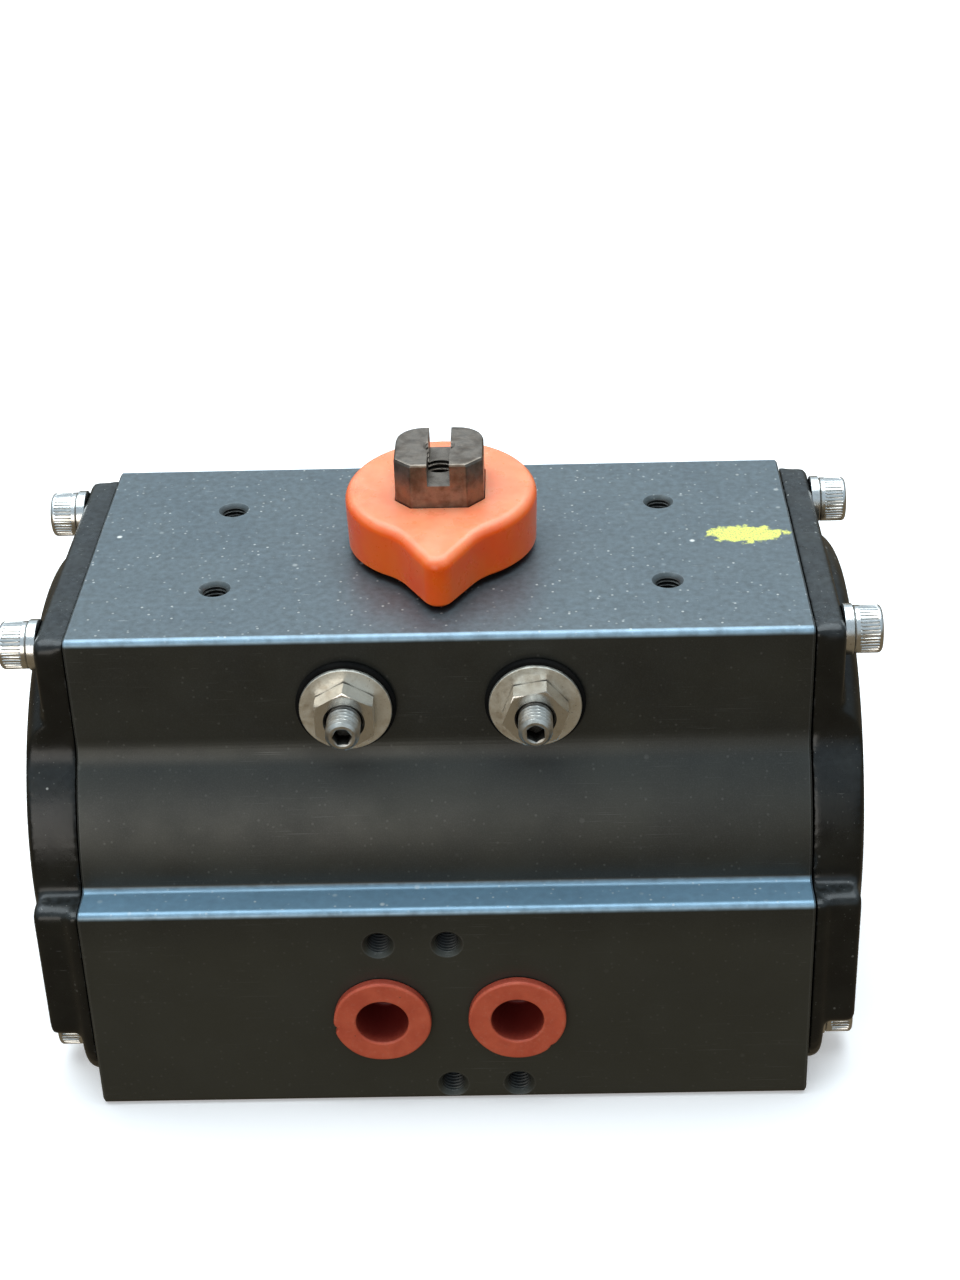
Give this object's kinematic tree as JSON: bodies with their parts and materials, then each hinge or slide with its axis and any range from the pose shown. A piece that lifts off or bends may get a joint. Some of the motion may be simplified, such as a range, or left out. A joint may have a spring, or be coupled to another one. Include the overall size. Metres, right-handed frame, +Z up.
{
  "type": "rotary pneumatic actuator",
  "caption": "Quarter-turn rack-and-pinion pneumatic actuator with twin pistons, slotted drive shaft, teardrop position indicator, travel stops and plugged air ports.",
  "frame": {"origin": "on the pinion axis, in the plane of the mounting face under the body", "axes": "+X along the cylinder bore, +Y away from the port side, +Z up the pinion axis to the indicator"},
  "size_m": [0.1528, 0.0996, 0.1085],
  "materials": {
    "hard_anodised_aluminium": "hard-anodised dark grey, satin",
    "black_coating": "black epoxy coating, semi-gloss",
    "stainless_steel": "bright stainless",
    "nickel_plated_steel": "nickel plated, satin",
    "cast_aluminium": "die cast, satin",
    "black_rubber": "matte",
    "bearing_plastic": "smooth",
    "orange_plastic": "glossy",
    "red_orange_plastic": "soft, matte"
  },
  "bodies": {
    "housing": {"body": "hard_anodised_aluminium", "end_cap_right": "black_coating", "end_cap_seal_right": "black_rubber", "air_line_seal_right": "black_rubber", "stop_nut_right": "stainless_steel", "stop_washer_right": "stainless_steel", "stop_seal_right": "black_rubber", "end_cap_left": "black_coating", "end_cap_seal_left": "black_rubber", "air_line_seal_left": "black_rubber", "stop_nut_left": "stainless_steel", "stop_washer_left": "stainless_steel", "stop_seal_left": "black_rubber", "cap_screw_right_upper_front": "stainless_steel", "cap_washer_right_upper_front": "stainless_steel", "cap_screw_right_upper_rear": "stainless_steel", "cap_washer_right_upper_rear": "stainless_steel", "cap_screw_right_lower_front": "stainless_steel", "cap_washer_right_lower_front": "stainless_steel", "cap_screw_right_lower_rear": "stainless_steel", "cap_washer_right_lower_rear": "stainless_steel", "cap_screw_left_upper_front": "stainless_steel", "cap_washer_left_upper_front": "stainless_steel", "cap_screw_left_upper_rear": "stainless_steel", "cap_washer_left_upper_rear": "stainless_steel", "cap_screw_left_lower_front": "stainless_steel", "cap_washer_left_lower_front": "stainless_steel", "cap_screw_left_lower_rear": "stainless_steel", "cap_washer_left_lower_rear": "stainless_steel", "pinion_bearing_top": "bearing_plastic", "pinion_bearing_bottom": "bearing_plastic", "thrust_washer": "bearing_plastic"},
    "pinion_shaft": {"pinion": "nickel_plated_steel", "stop_cam": "cast_aluminium", "position_indicator": "orange_plastic", "pinion_seal_top": "black_rubber", "pinion_seal_bottom": "black_rubber", "retaining_clip": "stainless_steel"},
    "piston_right": {"piston_right": "cast_aluminium", "piston_seal_right": "black_rubber", "piston_guide_band_right": "bearing_plastic", "rack_guide_pad_right": "bearing_plastic"},
    "stop_screw_right": {"stop_screw_right": "stainless_steel"},
    "port_plug_right": {"port_plug_right": "red_orange_plastic"},
    "piston_left": {"piston_left": "cast_aluminium", "piston_seal_left": "black_rubber", "piston_guide_band_left": "bearing_plastic", "rack_guide_pad_left": "bearing_plastic"},
    "stop_screw_left": {"stop_screw_left": "stainless_steel"},
    "port_plug_left": {"port_plug_left": "red_orange_plastic"}
  },
  "joints": [
    {"name": "pinion_turn", "type": "hinge", "parent": "housing", "child": "pinion_shaft", "pos_m": [0, 0, 0.042], "axis": [0, 0, 1], "range_deg": [0, 90]},
    {"name": "piston_right_slide", "type": "slide", "parent": "housing", "child": "piston_right", "axis": [1, 0, 0], "range_m": [0, 0.01884]},
    {"name": "piston_left_slide", "type": "slide", "parent": "housing", "child": "piston_left", "axis": [-1, 0, 0], "range_m": [0, 0.01886]},
    {"name": "stop_screw_right_adjust", "type": "slide", "parent": "housing", "child": "stop_screw_right", "axis": [0, -1, 0], "range_m": [0, 0.003]},
    {"name": "stop_screw_left_adjust", "type": "slide", "parent": "housing", "child": "stop_screw_left", "axis": [0, -1, 0], "range_m": [0, 0.003]},
    {"name": "port_plug_right_pull", "type": "slide", "parent": "housing", "child": "port_plug_right", "axis": [0, -1, 0], "range_m": [0, 0.014]},
    {"name": "port_plug_left_pull", "type": "slide", "parent": "housing", "child": "port_plug_left", "axis": [0, -1, 0], "range_m": [0, 0.014]}
  ],
  "couplings": [
    {"joint": "pinion_turn", "follows": "piston_right_slide", "rad_per_m": 83.333},
    {"joint": "piston_left_slide", "follows": "piston_right_slide", "ratio": 1}
  ]
}
